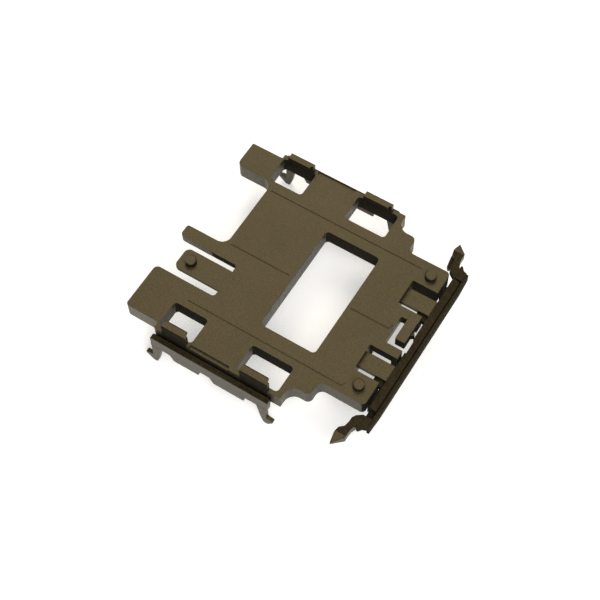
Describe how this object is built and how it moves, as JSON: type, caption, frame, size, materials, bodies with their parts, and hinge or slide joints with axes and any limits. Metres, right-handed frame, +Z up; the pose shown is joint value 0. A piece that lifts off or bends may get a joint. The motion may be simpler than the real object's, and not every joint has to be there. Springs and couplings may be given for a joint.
{
  "type": "processor board carrier",
  "caption": "Small moulded carrier plate that clips over a processor board and snaps into a housing with sprung hooks, barbs and an end bar.",
  "frame": {"origin": "centre of the bounding box in plan, on the surface that the four hook feet stand on", "axes": "+X from the open forks to the end bar, +Y to the far side as pictured, +Z up, out of the plate's board side"},
  "size_m": [0.0528, 0.0498, 0.0136],
  "materials": {
    "moulded_plastic": "fine matte moulded texture, olive brown"
  },
  "bodies": {
    "carrier": {"carrier_plate": "moulded_plastic", "near_side_rail": "moulded_plastic", "far_side_rail": "moulded_plastic", "near_locating_peg": "moulded_plastic", "far_locating_peg": "moulded_plastic"},
    "guide_finger": {"guide_finger": "moulded_plastic"},
    "spring_tongue": {"spring_tongue": "moulded_plastic", "tongue_peg": "moulded_plastic"},
    "latch_finger": {"latch_finger": "moulded_plastic"},
    "near_left_clip": {"near_left_clip": "moulded_plastic"},
    "near_right_clip": {"near_right_clip": "moulded_plastic"},
    "far_left_clip": {"far_left_clip": "moulded_plastic"},
    "far_right_clip": {"far_right_clip": "moulded_plastic"},
    "near_left_hook": {"near_left_hook": "moulded_plastic"},
    "near_right_hook": {"near_right_hook": "moulded_plastic"},
    "far_left_hook": {"far_left_hook": "moulded_plastic"},
    "far_right_hook": {"far_right_hook": "moulded_plastic"},
    "end_bar": {"end_bar": "moulded_plastic", "near_bar_tongue": "moulded_plastic", "far_bar_tongue": "moulded_plastic"},
    "near_barb": {"near_barb": "moulded_plastic"},
    "far_barb": {"far_barb": "moulded_plastic"}
  },
  "joints": [
    {"name": "guide_finger_flex", "type": "hinge", "parent": "carrier", "child": "guide_finger", "pos_m": [-0.01943, -0.00235, 0.0107], "axis": [0, 1, 0], "range_deg": [-3, 3], "stiffness_Nm_per_rad": 0.05},
    {"name": "spring_tongue_flex", "type": "hinge", "parent": "carrier", "child": "spring_tongue", "pos_m": [-0.01282, -0.0078, 0.01115], "axis": [0, 1, 0], "range_deg": [-4, 3], "stiffness_Nm_per_rad": 0.05},
    {"name": "latch_finger_flex", "type": "hinge", "parent": "carrier", "child": "latch_finger", "pos_m": [0.02233, 0.0034, 0.0103], "axis": [0, 0, -1], "range_deg": [0, 10], "stiffness_Nm_per_rad": 0.05},
    {"name": "near_left_clip_flex", "type": "hinge", "parent": "carrier", "child": "near_left_clip", "pos_m": [-0.01427, -0.0229, 0.0087], "axis": [1, 0, 0], "range_deg": [0, 7], "stiffness_Nm_per_rad": 0.05},
    {"name": "far_left_clip_flex", "type": "hinge", "parent": "carrier", "child": "far_left_clip", "pos_m": [-0.01427, 0.0229, 0.0087], "axis": [-1, 0, 0], "range_deg": [0, 7], "stiffness_Nm_per_rad": 0.05},
    {"name": "near_right_clip_flex", "type": "hinge", "parent": "carrier", "child": "near_right_clip", "pos_m": [0.00363, -0.0229, 0.0087], "axis": [1, 0, 0], "range_deg": [0, 7], "stiffness_Nm_per_rad": 0.05},
    {"name": "far_right_clip_flex", "type": "hinge", "parent": "carrier", "child": "far_right_clip", "pos_m": [0.00363, 0.0229, 0.0087], "axis": [-1, 0, 0], "range_deg": [0, 7], "stiffness_Nm_per_rad": 0.05},
    {"name": "near_left_hook_flex", "type": "hinge", "parent": "carrier", "child": "near_left_hook", "pos_m": [-0.01802, -0.02438, 0.0063], "axis": [0, -1, 0], "range_deg": [0, 8], "stiffness_Nm_per_rad": 0.05},
    {"name": "near_right_hook_flex", "type": "hinge", "parent": "carrier", "child": "near_right_hook", "pos_m": [0.00598, -0.02438, 0.0063], "axis": [0, 1, 0], "range_deg": [0, 8], "stiffness_Nm_per_rad": 0.05},
    {"name": "far_left_hook_flex", "type": "hinge", "parent": "carrier", "child": "far_left_hook", "pos_m": [-0.01802, 0.02438, 0.0063], "axis": [0, -1, 0], "range_deg": [0, 8], "stiffness_Nm_per_rad": 0.05},
    {"name": "far_right_hook_flex", "type": "hinge", "parent": "carrier", "child": "far_right_hook", "pos_m": [0.00598, 0.02438, 0.0063], "axis": [0, 1, 0], "range_deg": [0, 8], "stiffness_Nm_per_rad": 0.05},
    {"name": "end_bar_flex", "type": "hinge", "parent": "carrier", "child": "end_bar", "pos_m": [0.01798, 0, 0.00985], "axis": [0, 1, 0], "range_deg": [-4, 4], "stiffness_Nm_per_rad": 0.05},
    {"name": "near_barb_flex", "type": "hinge", "parent": "end_bar", "child": "near_barb", "pos_m": [0.02318, -0.019, 0.0085], "axis": [0, 0, 1], "range_deg": [-8, 8], "stiffness_Nm_per_rad": 0.05},
    {"name": "far_barb_flex", "type": "hinge", "parent": "end_bar", "child": "far_barb", "pos_m": [0.02318, 0.019, 0.0085], "axis": [0, 0, 1], "range_deg": [-8, 8], "stiffness_Nm_per_rad": 0.05}
  ]
}
